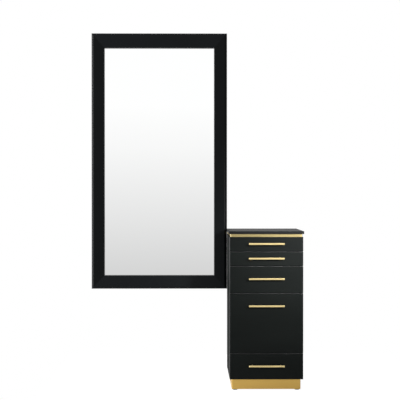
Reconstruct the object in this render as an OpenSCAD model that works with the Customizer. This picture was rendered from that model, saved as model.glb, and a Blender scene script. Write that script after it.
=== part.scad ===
// Salon mirror cabinet: a tall framed wall mirror bolted to the back edge of a pedestal of five drawers.
// Millimetres. +Z is up, the fronts face -Y and the wall is at +Y, with the origin on the floor.

/* [Mirror] */
// Width of the mirror over its frame
mirror_w = 813; // [500:1:1200]
// Height of the mirror over its frame
mirror_h = 1533; // [900:1:1900]
// Height of the frame's lower edge above the floor
mirror_z = 535; // [460:1:620]
// Face width of the two stiles
stile_w = 77; // [72:0.5:110]
// Face width of the bottom rail
bottom_rail_w = 80; // [72:0.5:110]
// Face width of the top rail
top_rail_w = 88; // [72:0.5:110]
// Thickness of the frame
frame_t = 30; // [26:0.5:45]
// Radius of the rounded outer front edge
edge_r = 18; // [6:0.5:22]
// Slope of the face down towards the glass, in degrees
face_fall = 3; // [0:0.5:6]
// Radius of the inner lip
lip_r = 3; // [1:0.5:5]
// Width of the rebate that holds the glass
rebate_w = 8; // [6:0.5:12]
// Depth of the rebate from the back of the frame
rebate_d = 12; // [10:0.5:18]
// Width of the solid strip along the outer edge of the back
strip_w = 16; // [12:0.5:20]
// Width of the channel ploughed in the back
channel_w = 40; // [32:1:44]
// Depth of that channel
channel_d = 14; // [12.5:0.5:16]
// Thickness of the mirror glass
glass_t = 4; // [3:0.5:6]
// Width of the bevel round the glass
bevel_w = 27; // [10:1:40]
// Depth of the bevel at the edge of the glass
bevel_drop = 1; // [0.5:0.25:1.5]
// Thickness of the backing board
backing_t = 2.5; // [2:0.5:4]
// Play of the glass and the backing in the rebate, on each side
glass_play = 1; // [0.5:0.25:2]

/* [Mirror fixings] */
// Stand-off of the frame from the wall
standoff = 4; // [4:0.5:7]
// Diameter of the rubber wall bumpers
bumper_d = 14; // [8:1:16]
// Length of the two hanging cleats
cleat_l = 400; // [200:10:460]
// Thickness of the cleat metal
cleat_t = 2.5; // [1.5:0.25:2.5]
// Height of the hooked lips
cleat_lip = 12; // [8:1:13]
// Height of the cleat plate on the frame
cleat_plate = 20; // [16:1:22]
// Height of the cleat plate on the wall
wall_plate = 28; // [20:1:40]
// Distance between the two wall screws of the cleat
cleat_pitch = 320; // [100:10:380]
// Diameter of the wall screw holes
wall_hole_d = 5.5; // [4:0.5:7]
// Arm length of the corner plates
plate_arm = 70; // [60:1:100]
// Arm width of the corner plates
plate_w = 22; // [14:1:26]
// Thickness of the corner plates
plate_t = 2; // [1:0.5:3]
// Shank diameter of the small wood screws
screw_d = 3.5; // [3:0.1:4.5]
// Length of the small wood screws under the head
screw_l = 11; // [8:1:12]
// Number of backing clips on each stile
stile_clips = 3; // [2:1:5]
// Distance of the clips on the rails from the sides of the opening
rail_clip = 60; // [40:1:100]
// Width of a backing clip
clip_w = 16; // [12:1:24]

/* [Cabinet] */
// Width of the cabinet body
cab_w = 414; // [340:1:600]
// Depth from the drawer faces to the wall
cab_d = 430; // [400:1:560]
// Thickness of the side, top and bottom panels
panel_t = 18; // [15:1:22]
// Thickness of the fixed shelves between the drawers
shelf_t = 16; // [12:1:18]
// Thickness of the back panel
back_t = 18; // [9:1:20]
// Distance of the back panel from the wall
back_inset = 34; // [30:1:50]
// Height of the batten that is screwed to the wall
batten_h = 56; // [40:1:80]
// Distance between the two wall screws of the batten
batten_pitch = 280; // [150:10:320]
// Diameter of the dowels
dowel_d = 8; // [6:0.5:10]
// Length of the dowels
dowel_l = 30; // [24:1:34]
// Depth of a dowel in a side panel
dowel_in = 12; // [9:1:13]
// Distance of the dowels from the front and the back edge of their board
dowel_set = 40; // [20:1:100]

/* [Drawer fronts] */
// Height of the two shallow fronts
shallow_h = 79; // [74:1:110]
// Height of the medium front
medium_h = 149; // [110:1:200]
// Height of the tall front
tall_h = 335; // [200:1:420]
// Height of the lowest front
lowest_h = 145; // [110:1:200]
// Gap between two fronts
front_gap = 3; // [2:0.5:5]
// Gap over the highest front
top_gap = 1.5; // [1:0.5:4]
// Gap under the lowest front
bottom_gap = 0.5; // [0.5:0.5:4]
// Gap between a front's end and the side of the body
end_gap = 0.5; // [0.5:0.5:4]
// Thickness of the fronts
front_t = 18; // [15:1:22]
// Gap between the fronts and the body behind them
seat_gap = 1.5; // [1:0.5:3]
// Chamfer along the edges of the panels
ease = 0.8; // [0.4:0.1:1.5]

/* [Drawer boxes] */
// Thickness of the drawer sides, ends and backs
box_t = 15; // [12:1:18]
// Thickness of the drawer bottoms
bottom_t = 8; // [4:1:9]
// Height of the groove that holds a bottom above the lower edge of its box
groove_z = 8; // [6:1:12]
// Depth of that groove
groove_d = 6; // [3:1:8]
// Play of a bottom in its grooves
bottom_play = 0.2; // [0.1:0.1:0.5]
// Room under a drawer box
under_gap = 5; // [4:1:8]
// Room over a drawer box
over_gap = 7; // [5:1:12]
// Room behind a drawer box
rear_gap = 8; // [4:1:16]

/* [Drawer slides] */
// Room behind the slides
slide_rear = 6.5; // [4:0.5:12]
// Space for a slide between the body and the drawer box
slide_space = 12.7; // [12:0.1:14]
// Height of the member on the body
slide_h = 35; // [33:1:36]
// Thickness of the slide metal
slide_t = 1.5; // [1:0.25:1.75]
// Running clearance between two members
slide_play = 0.6; // [0.4:0.1:0.8]
// Highest centre of a slide above the lower edge of its box
slide_rise = 60; // [30:1:80]
// Distance of a slide from the front edge of the body
slide_set = 2; // [1:0.5:6]

/* [Handles] */
// Length of the bar
handle_l = 200; // [140:1:300]
// Height of the bar
handle_h = 10; // [8:0.5:20]
// Thickness of the bar
handle_t = 8; // [6:0.5:12]
// Distance from the drawer face to the outside of the bar
handle_out = 28; // [22:1:45]
// Chamfer along the edges of the bar
handle_ease = 1; // [0.5:0.1:2]
// Diameter of the two posts
post_d = 9; // [7:0.5:12]
// Distance between the two posts
post_pitch = 160; // [96:1:200]
// Height of a handle above the middle of its front, as a share of the front
handle_raise = 0.035; // [0:0.005:0.08]
// Largest distance of a handle from the top of its front
handle_drop = 69; // [45:0.5:100]
// Thread diameter of the handle screws
bolt_d = 4; // [3:0.5:5]
// Depth of the thread in a post
thread_l = 12; // [8:1:15]

/* [Worktop and band] */
// Thickness of the worktop
top_t = 16; // [12:1:30]
// Overhang of the worktop at the front and at the sides
top_over = 4; // [2:0.5:10]
// Radius of the worktop's edges
top_r = 1.5; // [1:0.5:5]
// Height of the metal band under the worktop
band_h = 16; // [8:1:30]
// Set-back of the band from the body
band_in = 5; // [2:0.5:12]
// Thickness of the band metal
band_t = 2; // [1:0.5:3]

/* [Plinth and glides] */
// Height of the plinth
plinth_h = 58; // [46:1:100]
// Set-back of the plinth at the sides
plinth_side = 13; // [5:1:40]
// Set-back of the plinth at the front
plinth_front = 25; // [10:1:60]
// Set-back of the plinth from the wall
plinth_rear = 20; // [5:1:40]
// Thickness of the plinth metal
plinth_t = 3; // [1:0.5:4]
// Width of the plinth's inner flange
flange_w = 40; // [30:1:60]
// Height of the plinth above the floor
floor_gap = 5; // [2:0.5:10]
// Diameter of the glide feet
foot_d = 30; // [20:1:40]
// Height of the glide feet
foot_h = 8; // [6:1:12]
// Diameter of the glide stems
stem_d = 10; // [8:1:12]
// Side of the corner brackets that carry the glides
bracket_w = 56; // [44:1:70]
// Thickness of the corner brackets
bracket_t = 3; // [2:0.5:5]

/* [Link to the mirror] */
// Gap between the mirror frame and the body
link_gap = 1; // [1:0.5:12]
// Play round the mirror frame in the notch of the worktop
notch_play = 0.5; // [0.3:0.1:1]
// Diameter of the link bolts
link_d = 6; // [4:1:6]
// Distance of the lowest bolt from the lower edge of the frame
link_rise = 63; // [40:1:100]
// Outer diameter of the spacers
spacer_d = 14; // [12:1:16]

/* [Hidden] */
$fn = 48;
// Fit clearance round a fastener
fit = 0.1;
// Small overshoot of a cutting shape
over = 1;
// Rise of the frame's rounded edges over the flat face between them
crown = 0.05;
black = [0.11, 0.11, 0.12];
gold = [0.82, 0.66, 0.38];
steel = [0.72, 0.73, 0.75];
birch = [0.80, 0.70, 0.55];

// Distance of the wall bumpers from the solid strips, room at a dowel's ends, and bolt tip beyond its nut
bumper_in = 80;
dowel_room = 0.5;
bolt_tip = 2;

// Overall places
total_w = mirror_w + link_gap + cab_w + top_over;
total_d = cab_d + handle_out;
mirror_x = -total_w / 2;
mirror_x2 = mirror_x + mirror_w;
mirror_top = mirror_z + mirror_h;
cab_x = mirror_x2 + link_gap;
cab_x2 = cab_x + cab_w;
cab_mid = cab_x + cab_w / 2;
wall_y = total_d / 2;
front_y = wall_y - cab_d;

// Frame
frame_y = wall_y - standoff;
opening_x = mirror_x + stile_w;
opening_w = mirror_w - 2 * stile_w;
opening_z = mirror_z + bottom_rail_w;
opening_h = mirror_h - bottom_rail_w - top_rail_w;
glass_in = rebate_w - glass_play;
glass_w = opening_w + 2 * glass_in;
glass_h = opening_h + 2 * glass_in;
backing_back = rebate_d - glass_t - backing_t;
channel_mid = strip_w + channel_w / 2;
corner_xs = [mirror_x + channel_mid, mirror_x2 - channel_mid];
corner_zs = [mirror_z + channel_mid, mirror_top - channel_mid];

// Cleats: the wall lip stands clear of the wall, and the mirror's lip drops behind it
hook_play = 0.3;
lip_play = 0.2;
cleat_room = 4;
lip_near = cleat_t + hook_play;
lip_far = lip_near + cleat_t + lip_play;
hook_z = mirror_top - strip_w - cleat_plate - cleat_room;
cleat_x = mirror_x + mirror_w / 2;
channel_floor = standoff + channel_d;
cleat_screws = [for (s = [-1.5, -0.5, 0.5, 1.5]) cleat_x + s * cleat_l / 4];
cleat_screw_z = hook_z + cleat_t + (cleat_plate - cleat_t) / 2;

// Body
heights = [shallow_h, shallow_h, medium_h, tall_h, lowest_h];
COUNT = len(heights);
function sum_to(n) = n == 0 ? 0 : heights[n - 1] + sum_to(n - 1);
body_h = sum_to(COUNT) + (COUNT - 1) * front_gap + top_gap + bottom_gap;
body_z = floor_gap + plinth_h;
body_top = body_z + body_h;
edge_y = front_y + front_t + seat_gap;
back_y = wall_y - back_inset - back_t;
inner_x = cab_x + panel_t;
inner_w = cab_w - 2 * panel_t;
band_top = body_top + band_h;

// Fronts, and the shelves behind the joints between them
function front_z(i) = body_top - top_gap - sum_to(i + 1) - i * front_gap;
function joint_z(i) = front_z(i) - front_gap / 2;
function bay_top(i) = i == 0 ? body_top - panel_t : joint_z(i - 1) - shelf_t / 2;
function bay_floor(i) = i == COUNT - 1 ? body_z + panel_t : joint_z(i) + shelf_t / 2;
front_x = cab_x + end_gap;
front_w = cab_w - 2 * end_gap;

// Drawer boxes
box_x = inner_x + slide_space;
box_w = inner_w - 2 * slide_space;
box_y = front_y + front_t;
box_l = back_y - rear_gap - box_y;
function box_z(i) = bay_floor(i) + under_gap;
function box_h(i) = bay_top(i) - over_gap - box_z(i);
function slide_z(i) = box_z(i) + min(box_h(i) / 2, slide_rise);
slide_y = edge_y + slide_set;
slide_l = back_y - slide_rear - slide_y;
middle_h = slide_h - 2 * slide_t - 2 * slide_play;
inner_h = middle_h - 2 * slide_t - 2 * slide_play;
middle_depth = slide_space - 2 * slide_t - 2 * slide_play;
inner_depth = slide_space - 2 * slide_t - 4 * slide_play;

// Handles
function handle_z(i) = front_z(i) + heights[i] - min(heights[i] * (0.5 - handle_raise), handle_drop);
handle_y = front_y - handle_out;
grip = front_t + box_t;
head_d = 2 * bolt_d;
head_h = 0.6 * bolt_d;
post_xs = [cab_mid - post_pitch / 2, cab_mid + post_pitch / 2];

// Link bolts
batten_z = body_top - panel_t - batten_h;
link_y = wall_y - standoff - channel_d / 2;
link_zs = [mirror_z + link_rise, (mirror_z + link_rise + batten_z - 2 * link_d) / 2, batten_z - 2 * link_d];
link_grip = strip_w + link_gap + panel_t;
link_head = 0.65 * link_d;
link_af = 1.67 * link_d;

// Dowels
dowel_ys = [edge_y + dowel_set, back_y - dowel_set];
board_zs = concat([body_z + panel_t / 2, body_top - panel_t / 2], [for (i = [0:COUNT - 2]) joint_z(i)]);

// Glides and their brackets
foot_play = 1;
foot_bevel = 1.5;
boss_wall = 4;
boss_h = 14;
stem_rise = 4;
foot_x = plinth_side + plinth_t + foot_d / 2 + foot_play;
foot_y = plinth_t + foot_d / 2 + foot_play;
foot_xs = [cab_x + foot_x, cab_x2 - foot_x];
foot_ys = [front_y + plinth_front + foot_y, wall_y - plinth_rear - foot_y];
plinth_x = cab_x + plinth_side;
plinth_w = cab_w - 2 * plinth_side;
plinth_y = front_y + plinth_front;
plinth_l = cab_d - plinth_front - plinth_rear;
bracket_z = body_z - plinth_h / 2 - bracket_t;
boss_d = stem_d + 2 * boss_wall;
stem_top = bracket_z + bracket_t + boss_h + stem_rise;

// Rectangle with its corners cut off
module cut_rect(a, b, e) {
    polygon([[e, 0], [a - e, 0], [a, e], [a, b - e], [a - e, b], [e, b], [0, b - e], [0, e]]);
}

// Rectangle with round corners
module round_rect(a, b, r) {
    translate([r, 0]) square([a - 2 * r, b]);
    translate([0, r]) square([a, b - 2 * r]);
    for (x = [r, a - r], y = [r, b - r]) translate([x, y]) circle(r);
}

// Board with every edge eased by a small chamfer
module board(place, size, e = ease) {
    translate(place) intersection() {
        linear_extrude(size[2]) cut_rect(size[0], size[1], e);
        translate([0, size[1], 0]) rotate([90, 0, 0]) linear_extrude(size[1]) cut_rect(size[0], size[2], e);
        rotate([90, 0, 90]) linear_extrude(size[0]) cut_rect(size[1], size[2], e);
    }
}

// Sharp block
module block(place, size) {
    translate(place) cube(size);
}

// Cylinder along X, from its end at the given place
module rod_x(place, d, l) {
    translate(place) rotate([0, 90, 0]) cylinder(d = d, h = l);
}

// Cylinder along Y towards the wall, from its end at the given place
module rod_y(place, d, l) {
    translate(place) rotate([-90, 0, 0]) cylinder(d = d, h = l);
}

// Section of the frame moulding: x runs from the outer edge to the glass, y from the back to the face
module moulding(width) {
    mid = [edge_r, frame_t - edge_r];
    up = [sin(face_fall), cos(face_fall)];
    start = mid + (edge_r - crown) * up;
    lip_u = width - lip_r;
    lip_w = mid[1] + (edge_r - lip_r) / cos(face_fall) - (lip_u - mid[0]) * tan(face_fall);
    stop = [lip_u, lip_w] + (lip_r - crown) * up;
    difference() {
        union() {
            polygon([[0, 0], [width, 0], [width, lip_w], [lip_u, lip_w], stop, start, mid, [0, mid[1]]]);
            intersection() {
                translate(mid) circle(edge_r);
                translate([-over, 0]) square([width, frame_t + 2 * over]);
            }
            translate([lip_u, lip_w]) circle(lip_r);
        }
        translate([width - rebate_w, -over]) square([rebate_w + over, rebate_d + over]);
        translate([strip_w, -over]) square([channel_w, channel_d + over]);
    }
}

// Mitred length of moulding along X with its outer edge down and its back at y = 0
module mitred(length, width, start_w, end_w) {
    intersection() {
        rotate([180, -90, 0]) linear_extrude(length) moulding(width);
        translate([0, over, 0]) rotate([90, 0, 0]) linear_extrude(frame_t + 2 * over)
            polygon([[0, 0], [length, 0], [length - end_w, width], [start_w, width]]);
    }
}

// Screw holes of the corner plates, the clips and the cleat
module pilot_holes() {
    for (p = plate_screws()) pilot_hole([p[0], frame_y - channel_d, p[1]]);
    for (x = cleat_screws) pilot_hole([x, frame_y - channel_d, cleat_screw_z]);
    for (c = clip_places()) pilot_hole([c[0], frame_y, c[1]]);
}

// Blind hole for a small wood screw, from its mouth towards the front
module pilot_hole(mouth) {
    translate([0, -screw_l - over, 0]) rod_y(mouth, screw_d + fit, screw_l + 2 * over);
}

// Places of the corner plate screws
function plate_screws() = [
    for (sx = [0, 1], sz = [0, 1], a = [0.45, 0.85], along = [0, 1])
        [
            corner_xs[sx] + (1 - along) * (1 - 2 * sx) * a * plate_arm,
            corner_zs[sz] + along * (1 - 2 * sz) * a * plate_arm
        ]
];

// Clips: metal, length behind the screw and on the board, and distance of the screw from the glass opening
clip_t = 1.5;
clip_tail = 5;
clip_tongue = 9;
clip_in = rebate_w + 6;
rail_clip_xs = [opening_x + rail_clip, opening_x + opening_w - rail_clip];

// Places of the clip screws, with the turn that points each clip at the glass
function clip_places() = concat(
    [
        for (s = [0, 1], k = [1:stile_clips])
            [
                s ? opening_x + opening_w + clip_in : opening_x - clip_in,
                opening_z + k * opening_h / (stile_clips + 1),
                s ? 180 : 0
            ]
    ],
    [for (x = rail_clip_xs) [x, opening_z + opening_h + clip_in, -90]],
    [for (x = rail_clip_xs) [x, opening_z - clip_in, 90]]
);

// Small pan-head wood screw with its head at y = 0, driven towards the front
module wood_screw(place) {
    translate(place) {
        rod_y([0, -screw_l, 0], screw_d, screw_l + fit);
        rod_y([0, 0, 0], 2 * screw_d, 0.6 * screw_d);
    }
}

module mirror_top_rail() {
    color(black) difference() {
        translate([mirror_x2, frame_y, mirror_top]) rotate([0, 180, 0])
            mitred(mirror_w, top_rail_w, stile_w, stile_w);
        pilot_holes();
    }
}

module mirror_bottom_rail() {
    color(black) difference() {
        translate([mirror_x, frame_y, mirror_z]) mitred(mirror_w, bottom_rail_w, stile_w, stile_w);
        pilot_holes();
    }
}

module mirror_left_stile() {
    color(black) difference() {
        translate([mirror_x, frame_y, mirror_top]) rotate([0, 90, 0])
            mitred(mirror_h, stile_w, top_rail_w, bottom_rail_w);
        pilot_holes();
    }
}

module mirror_right_stile() {
    color(black) difference() {
        translate([mirror_x2, frame_y, mirror_z]) rotate([0, -90, 0])
            mitred(mirror_h, stile_w, bottom_rail_w, top_rail_w);
        pilot_holes();
        link_holes();
    }
}

// Sheet of glass with a bevel round its face
module mirror_glass() {
    color([0.85, 0.88, 0.90])
    translate([opening_x - glass_in, frame_y - rebate_d + glass_t, opening_z - glass_in]) intersection() {
        linear_extrude(glass_h) mirror([0, 1]) bevelled(glass_w);
        rotate([0, 90, 0]) linear_extrude(glass_w) rotate(180) bevelled(glass_h);
    }
}

// Section of the glass: x across the sheet, y from the silvered back to the face
module bevelled(width) {
    edge_t = glass_t - bevel_drop;
    face = [[width - bevel_w, glass_t], [bevel_w, glass_t]];
    polygon(concat([[0, 0], [width, 0], [width, edge_t]], face, [[0, edge_t]]));
}

module mirror_backing_board() {
    color(birch) block(
        [opening_x - glass_in, frame_y - backing_back - backing_t, opening_z - glass_in],
        [glass_w, backing_t, glass_h]
    );
}

// Flat steel angles screwed over the mitres
module frame_corner_plates() {
    reach = plate_arm + plate_w / 2;
    color(steel) difference() {
        for (sx = [0, 1], sz = [0, 1])
            translate([corner_xs[sx], frame_y - channel_d, corner_zs[sz]])
                mirror([sx, 0, 0]) mirror([0, 0, sz])
                    for (arm = [[reach, plate_w], [plate_w, reach]])
                        block([-plate_w / 2, 0, -plate_w / 2], [arm[0], plate_t, arm[1]]);
        for (p = plate_screws()) pilot_hole([p[0], frame_y - channel_d + plate_t, p[1]]);
    }
}

// Stepped clips that hold the backing board in the rebate
module backing_clips() {
    wall_u = clip_in - rebate_w + glass_play / 2;
    color(steel) for (c = clip_places())
        translate([c[0], frame_y, c[1]]) rotate([0, -c[2], 0]) difference() {
            translate([0, 0, clip_w / 2]) mirror([0, 0, 1]) linear_extrude(clip_w) union() {
                translate([-clip_tail, 0]) square([clip_tail + wall_u + clip_t, clip_t]);
                translate([wall_u, -backing_back]) square([clip_t, backing_back + clip_t]);
                translate([wall_u, -backing_back]) square([clip_tongue, clip_t]);
            }
            rod_y([0, -over, 0], screw_d + fit, clip_t + 2 * over);
        }
}

module mirror_screws() {
    color(steel) {
        for (p = plate_screws()) wood_screw([p[0], frame_y - channel_d + plate_t, p[1]]);
        for (x = cleat_screws) wood_screw([x, frame_y - channel_d + cleat_t, cleat_screw_z]);
        for (c = clip_places()) wood_screw([c[0], frame_y + clip_t, c[1]]);
    }
}

// Hooked strip on the back of the top rail; the section runs from the wall to the front and up
module mirror_cleat() {
    hook_h = cleat_lip - hook_play;
    color(steel) difference() {
        translate([cleat_x - cleat_l / 2, wall_y, hook_z]) rotate([90, 0, 90]) mirror([1, 0])
            linear_extrude(cleat_l) union() {
                translate([lip_near, -hook_h]) square([cleat_t, hook_h + cleat_t]);
                translate([lip_near, 0]) square([channel_floor - lip_near, cleat_t]);
                translate([channel_floor - cleat_t, 0]) square([cleat_t, cleat_plate]);
            }
        for (x = cleat_screws) pilot_hole([x, frame_y - channel_d + cleat_t, cleat_screw_z]);
    }
}

// Hooked strip that is screwed to the wall and carries the mirror
module wall_cleat() {
    color(steel) difference() {
        translate([cleat_x - cleat_l / 2, wall_y, hook_z]) rotate([90, 0, 90]) mirror([1, 0])
            linear_extrude(cleat_l) union() {
                translate([lip_far, -cleat_lip - cleat_t]) square([cleat_t, cleat_lip + cleat_t]);
                translate([0, -cleat_lip - cleat_t]) square([lip_far + cleat_t, cleat_t]);
                translate([0, -cleat_lip - wall_plate]) square([cleat_t, wall_plate]);
            }
        for (x = [cleat_x - cleat_pitch / 2, cleat_x + cleat_pitch / 2])
            rod_y([x, wall_y - cleat_t - over, wall_hole_z], wall_hole_d, cleat_t + 2 * over);
    }
}
wall_hole_z = hook_z - cleat_lip - cleat_t - (wall_plate - cleat_t) / 2;

module wall_bumpers() {
    color("dimgray") for (x = [mirror_x + strip_w + bumper_in, mirror_x2 - strip_w - bumper_in])
        rod_y([x, frame_y, mirror_z + strip_w / 2], bumper_d, standoff);
}

// Dowels between the boards and the side panels, or the holes for them
module dowel_rods(d, extra) {
    for (x = [inner_x - dowel_in, inner_x + inner_w + dowel_in - dowel_l], y = dowel_ys, z = board_zs)
        rod_x([x - extra, y, z], d, dowel_l + 2 * extra);
}

module dowel_space() {
    dowel_rods(dowel_d + fit, dowel_room);
}

module carcass_dowels() {
    color(birch) dowel_rods(dowel_d, 0);
}

// Bolt holes through the rear of the left side and the stile beside it
module link_holes() {
    for (z = link_zs) rod_x([mirror_x2 - strip_w - over, link_y, z], link_d + 4 * fit, link_grip + 2 * over);
}

module side_panel() {
    board([0, edge_y, body_z], [panel_t, wall_y - edge_y, body_h]);
}

module side_panel_left() {
    color(black) difference() {
        translate([cab_x, 0, 0]) side_panel();
        dowel_space();
        link_holes();
    }
}

module side_panel_right() {
    color(black) difference() {
        translate([cab_x2 - panel_t, 0, 0]) side_panel();
        dowel_space();
    }
}

// Wall screw holes through the back panel and the batten
module batten_holes() {
    for (s = [-0.5, 0.5])
        rod_y(
            [cab_mid + s * batten_pitch, back_y - over, batten_z + batten_h / 2],
            wall_hole_d,
            back_t + back_inset + 2 * over
        );
}

module back_panel() {
    color(black) difference() {
        block([inner_x, back_y, body_z], [inner_w, back_t, body_h]);
        batten_holes();
    }
}

module wall_batten() {
    color(birch) difference() {
        block([inner_x, back_y + back_t, batten_z], [inner_w, back_inset, batten_h]);
        batten_holes();
    }
}

module bottom_panel() {
    color(black) difference() {
        block([inner_x, edge_y, body_z], [inner_w, back_y - edge_y, panel_t]);
        dowel_space();
    }
}

module sub_top() {
    color(black) difference() {
        block([inner_x, edge_y, body_top - panel_t], [inner_w, back_y - edge_y, panel_t]);
        dowel_space();
    }
}

// Full-depth shelves between the drawers
module fixed_shelves() {
    color(black) difference() {
        for (i = [0:COUNT - 2])
            block([inner_x, edge_y, joint_z(i) - shelf_t / 2], [inner_w, back_y - edge_y, shelf_t]);
        dowel_space();
    }
}

// Board that lifts the worktop by the height of the band
module top_spacer() {
    inset = band_in + band_t;
    color(black) block(
        [cab_x + inset, front_y + inset, body_top],
        [cab_w - 2 * inset, cab_d - inset, band_h]
    );
}

// Bent strip round the front and the two ends of the spacer
module gold_band() {
    color(gold) difference() {
        block([cab_x + band_in, front_y + band_in, body_top], [cab_w - 2 * band_in, cab_d - band_in, band_h]);
        block(
            [cab_x + band_in + band_t, front_y + band_in + band_t, body_top - over],
            [cab_w - 2 * band_in - 2 * band_t, cab_d, band_h + 2 * over]
        );
    }
}

// Worktop slab with rounded edges, notched round the mirror frame at its back left corner
module worktop() {
    w = cab_w + 2 * top_over;
    d = cab_d + top_over;
    color(black) difference() {
        translate([cab_x - top_over, front_y - top_over, band_top]) intersection() {
            linear_extrude(top_t) round_rect(w, d, top_r);
            translate([0, d, 0]) rotate([90, 0, 0]) linear_extrude(d) round_rect(w, top_t, top_r);
            rotate([90, 0, 90]) linear_extrude(w) round_rect(d, top_t, top_r);
        }
        block(
            [mirror_x2 + notch_play - strip_w, frame_y - frame_t - notch_play, band_top - over],
            [strip_w, frame_t + standoff + notch_play + over, top_t + 2 * over]
        );
    }
}

// Folded metal skirt with a flange under the body
module plinth_skirt() {
    color(gold) difference() {
        block([plinth_x, plinth_y, floor_gap], [plinth_w, plinth_l, plinth_h]);
        block(
            [plinth_x + plinth_t, plinth_y + plinth_t, floor_gap - over],
            [plinth_w - 2 * plinth_t, plinth_l - 2 * plinth_t, plinth_h - plinth_t + over]
        );
        block(
            [plinth_x + flange_w, plinth_y + flange_w, floor_gap],
            [plinth_w - 2 * flange_w, plinth_l - 2 * flange_w, plinth_h + over]
        );
    }
}

// Corner plates with a threaded boss for each glide
module glide_brackets() {
    color(steel) for (sx = [0, 1], sy = [0, 1]) {
        x = sx ? plinth_x + plinth_w - plinth_t - bracket_w : plinth_x + plinth_t;
        y = sy ? plinth_y + plinth_l - plinth_t - bracket_w : plinth_y + plinth_t;
        difference() {
            union() {
                block([x, y, bracket_z], [bracket_w, bracket_w, bracket_t]);
                translate([foot_xs[sx], foot_ys[sy], bracket_z]) cylinder(d = boss_d, h = bracket_t + boss_h);
            }
            translate([foot_xs[sx], foot_ys[sy], bracket_z - over])
                cylinder(d = stem_d + fit, h = bracket_t + boss_h + 2 * over);
        }
    }
}

// Screw-in levelling glides with round feet
module levelling_glides() {
    color("dimgray") for (x = foot_xs, y = foot_ys) translate([x, y, 0]) {
        cylinder(d1 = foot_d - 2 * foot_bevel, d2 = foot_d, h = foot_bevel);
        translate([0, 0, foot_bevel]) cylinder(d = foot_d, h = foot_h - foot_bevel);
        cylinder(d = stem_d, h = stem_top);
    }
}

// Length of a slide member: a channel from y = 0 to the wall, open towards +X
module channel(h, depth) {
    translate([0, slide_l, 0]) rotate([90, 0, 0]) linear_extrude(slide_l) difference() {
        translate([0, -h / 2]) square([depth, h]);
        translate([slide_t, slide_t - h / 2]) square([depth, h - 2 * slide_t]);
    }
}

// The same member at both sides of drawer i, at a distance from the body's inner face
module both_sides(i, from_side) {
    translate([inner_x + from_side, slide_y, slide_z(i)]) children();
    translate([inner_x + inner_w - from_side, slide_y, slide_z(i)]) mirror([1, 0, 0]) children();
}

module slide_outer_members() {
    color(steel) for (i = [0:COUNT - 1]) both_sides(i, 0) channel(slide_h, slide_space - slide_play);
}

module drawer_slide_middle(i) {
    color(steel) both_sides(i, slide_t + slide_play) channel(middle_h, middle_depth);
}

module drawer_slide_inner(i) {
    color(steel) both_sides(i, slide_space) mirror([1, 0, 0]) channel(inner_h, inner_depth);
}

// Holes for the two handle screws of drawer i
module handle_holes(i) {
    for (x = post_xs) rod_y([x, front_y - over, handle_z(i)], bolt_d + 4 * fit, grip + 2 * over);
}

module drawer_front(i) {
    color(black) difference() {
        board([front_x, front_y, front_z(i)], [front_w, front_t, heights[i]]);
        handle_holes(i);
    }
}

// Two sides, an inner front and a back, grooved for the bottom
module drawer_box(i) {
    h = box_h(i);
    z = box_z(i);
    color(birch) difference() {
        union() {
            for (x = [box_x, box_x + box_w - box_t]) block([x, box_y, z], [box_t, box_l, h]);
            for (y = [box_y, box_y + box_l - box_t])
                block([box_x + box_t + fit, y, z], [box_w - 2 * box_t - 2 * fit, box_t, h]);
        }
        block(
            [box_x + box_t - groove_d, box_y + box_t - groove_d, z + groove_z],
            [box_w - 2 * box_t + 2 * groove_d, box_l - 2 * box_t + 2 * groove_d, bottom_t]
        );
        handle_holes(i);
    }
}

module drawer_bottom(i) {
    side = box_t - groove_d + bottom_play;
    color(birch) block(
        [box_x + side, box_y + side, box_z(i) + groove_z],
        [box_w - 2 * side, box_l - 2 * side, bottom_t]
    );
}

// Bar on two posts, with the screws that come through from inside the drawer
module drawer_handle(i) {
    z = handle_z(i);
    color(gold) difference() {
        union() {
            board(
                [cab_mid - handle_l / 2, handle_y, z - handle_h / 2],
                [handle_l, handle_t, handle_h],
                handle_ease
            );
            for (x = post_xs) rod_y([x, handle_y + handle_t / 2, z], post_d, handle_out - handle_t / 2);
        }
        for (x = post_xs) rod_y([x, front_y - thread_l, z], bolt_d, thread_l + over);
    }
    color(steel) for (x = post_xs) {
        rod_y([x, front_y - thread_l + over, z], bolt_d - fit, thread_l - over + grip + fit);
        rod_y([x, front_y + grip, z], head_d, head_h);
    }
}

// Bolts from the space behind the back panel into the stile, with nuts in its channel
module link_bolts() {
    nut_h = 0.8 * link_d;
    tip = nut_h + bolt_tip;
    color(steel) for (z = link_zs) {
        rod_x([mirror_x2 - strip_w - tip, link_y, z], link_d, tip + link_grip + fit);
        rod_x([inner_x, link_y, z], link_af, link_head);
        translate([mirror_x2 - strip_w - nut_h, link_y, z]) rotate([0, 90, 0])
            cylinder(d = link_af / cos(30), h = nut_h, $fn = 6);
    }
}

module link_spacers() {
    color(steel) for (z = link_zs) difference() {
        rod_x([mirror_x2, link_y, z], spacer_d, link_gap);
        rod_x([mirror_x2 - over, link_y, z], link_d + 4 * fit, link_gap + 2 * over);
    }
}

mirror_top_rail();
mirror_bottom_rail();
mirror_left_stile();
mirror_right_stile();
mirror_glass();
mirror_backing_board();
frame_corner_plates();
backing_clips();
mirror_screws();
mirror_cleat();
wall_cleat();
wall_bumpers();
side_panel_left();
side_panel_right();
back_panel();
bottom_panel();
sub_top();
fixed_shelves();
carcass_dowels();
wall_batten();
top_spacer();
gold_band();
worktop();
plinth_skirt();
glide_brackets();
levelling_glides();
slide_outer_members();
link_bolts();
link_spacers();
for (i = [0:COUNT - 1]) {
    name = str("drawer_", i + 1);
    drawer_front(i);
    drawer_box(i);
    drawer_bottom(i);
    drawer_handle(i);
    drawer_slide_inner(i);
    drawer_slide_middle(i);
}
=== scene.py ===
"""Salon mirror cabinet: a framed wall mirror bolted to a pedestal of five drawers.

Lengths are in metres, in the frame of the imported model: +Z up, fronts towards -Y, wall at +Y.
"""

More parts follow.
